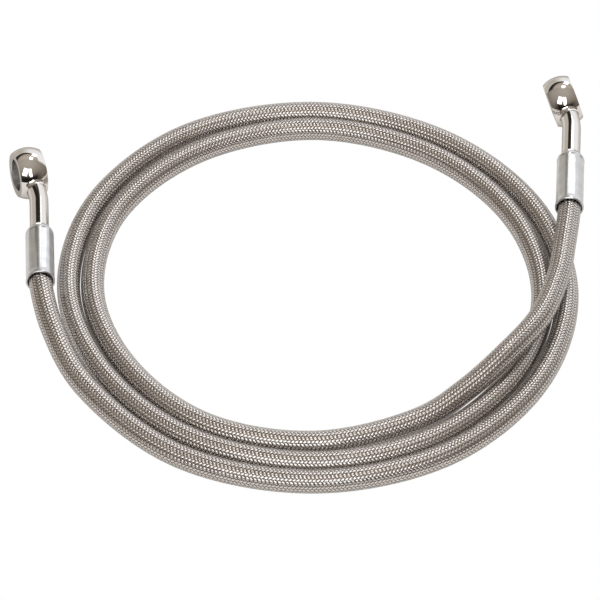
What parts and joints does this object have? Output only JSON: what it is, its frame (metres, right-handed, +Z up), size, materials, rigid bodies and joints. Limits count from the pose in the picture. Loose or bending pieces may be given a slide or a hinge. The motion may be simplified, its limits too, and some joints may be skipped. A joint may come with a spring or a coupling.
{
  "type": "brake line extension",
  "caption": "Braided brake hose, 1.27 m long and laid in two and a half turns, with a clear jacket and a bent banjo fitting crimped on each end.",
  "frame": {"origin": "on the surface the hose lies on, midway between the two end fittings", "axes": "+X from the first fitting to the second, +Y the way both eyes point from the coil, +Z up from the surface"},
  "size_m": [0.1908, 0.1786, 0.0187],
  "materials": {
    "clear_jacket": "clear and glossy",
    "steel_wire": "woven fine wire",
    "liner": "smooth, dark",
    "bright_plate": "bright plated steel",
    "satin_plate": "satin plated steel"
  },
  "bodies": {
    "root": {"hose_jacket": "clear_jacket", "wire_braid": "steel_wire", "hose_liner": "liner", "first_banjo": "bright_plate", "first_sleeve": "satin_plate", "second_banjo": "bright_plate", "second_sleeve": "satin_plate"}
  },
  "joints": []
}
